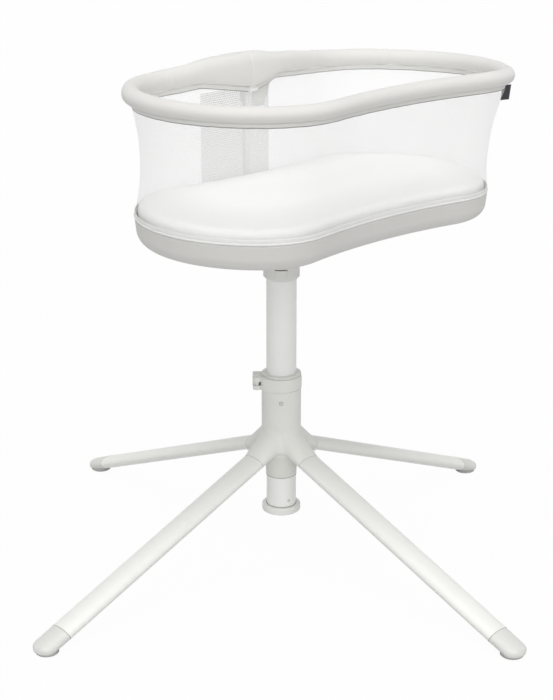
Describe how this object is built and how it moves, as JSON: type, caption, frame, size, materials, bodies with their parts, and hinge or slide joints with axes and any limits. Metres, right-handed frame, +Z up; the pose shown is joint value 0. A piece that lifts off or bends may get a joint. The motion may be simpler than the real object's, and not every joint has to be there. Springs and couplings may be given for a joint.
{
  "type": "bassinet on stand",
  "caption": "Hourglass mesh bassinet with a padded rim on a height-adjustable swivel post, clamped in a hub with four sloping oval legs.",
  "frame": {"origin": "on the floor under the post axis", "axes": "+Z up, +X along the basket's long side, -Y to the basket's open front side; the legs point along X and Y"},
  "size_m": [1.328, 1.328, 1.084],
  "materials": {
    "stand_plastic": "satin warm white",
    "leg_tube": "satin warm white coat",
    "pad_rubber": "matt",
    "bush_plastic": "smooth",
    "steel": "plated",
    "post_paint": "satin light grey coat",
    "post_plastic": "satin light grey",
    "painted_steel": "white powder coat",
    "pan_plastic": "moulded",
    "base_fabric": "woven light warm grey",
    "board": "plain hardboard",
    "mattress_fabric": "quilted white sheet over foam",
    "mesh": "open knitted mesh",
    "rim_fabric": "padded woven warm grey",
    "label_fabric": "plain dark woven tab"
  },
  "bodies": {
    "stand": {"hub": "stand_plastic", "right_leg": "leg_tube", "rear_leg": "leg_tube", "left_leg": "leg_tube", "front_leg": "leg_tube", "leg_screws": "steel", "right_foot_cap": "stand_plastic", "rear_foot_cap": "stand_plastic", "left_foot_cap": "stand_plastic", "front_foot_cap": "stand_plastic", "right_foot_pad": "pad_rubber", "rear_foot_pad": "pad_rubber", "left_foot_pad": "pad_rubber", "front_foot_pad": "pad_rubber", "lower_bush": "bush_plastic", "upper_bush": "bush_plastic", "bush_screw": "steel", "clamp_collar": "stand_plastic", "clamp_bolt": "steel", "clamp_nut": "steel"},
    "lever": {"clamp_lever": "stand_plastic", "lever_pin": "steel"},
    "post": {"post_tube": "post_paint", "end_cap": "post_plastic", "end_cap_rivets": "steel", "post_head": "post_plastic", "thrust_washer": "bush_plastic", "button_spring": "steel"},
    "button": {"release_button": "post_plastic"},
    "basket": {"swivel_spindle": "post_plastic", "mount_plate": "painted_steel", "mount_screws": "steel", "base_pan": "pan_plastic", "base_cover": "base_fabric", "base_piping": "base_fabric", "mattress_board": "board", "mattress": "mattress_fabric", "mesh_wall": "mesh", "back_panel": "mesh", "rim_post": "painted_steel", "hinge_bracket": "painted_steel", "hinge_pin": "steel", "return_spring": "steel"},
    "rim": {"rim_tube": "painted_steel", "rim_pad": "rim_fabric", "rim_hem": "rim_fabric", "back_bolster": "rim_fabric", "rim_knuckle": "painted_steel", "label_tab": "label_fabric"}
  },
  "joints": [
    {"name": "post_slide", "type": "slide", "parent": "stand", "child": "post", "axis": [0, 0, 1], "range_m": [-0.09, 0.045]},
    {"name": "lever_swing", "type": "hinge", "parent": "stand", "child": "lever", "pos_m": [-0.05197, 0.02015, 0.4], "axis": [0, 0, -1], "range_deg": [0, 110]},
    {"name": "basket_swivel", "type": "hinge", "parent": "post", "child": "basket", "pos_m": [0, 0, 0.7], "axis": [0, 0, 1], "continuous": true},
    {"name": "rim_dip", "type": "hinge", "parent": "basket", "child": "rim", "pos_m": [0, 0.1035, 1.019], "axis": [1, 0, 0], "range_deg": [0, 10], "stiffness_Nm_per_rad": 16, "springref_deg": -40.11, "deforming": ["mesh_wall", "return_spring"]},
    {"name": "button_press", "type": "slide", "parent": "post", "child": "button", "axis": [0.7071, 0.7071, 0], "range_m": [0, 0.0035], "stiffness_N_per_m": 900, "springref_m": -0.004, "deforming": ["button_spring"]}
  ]
}
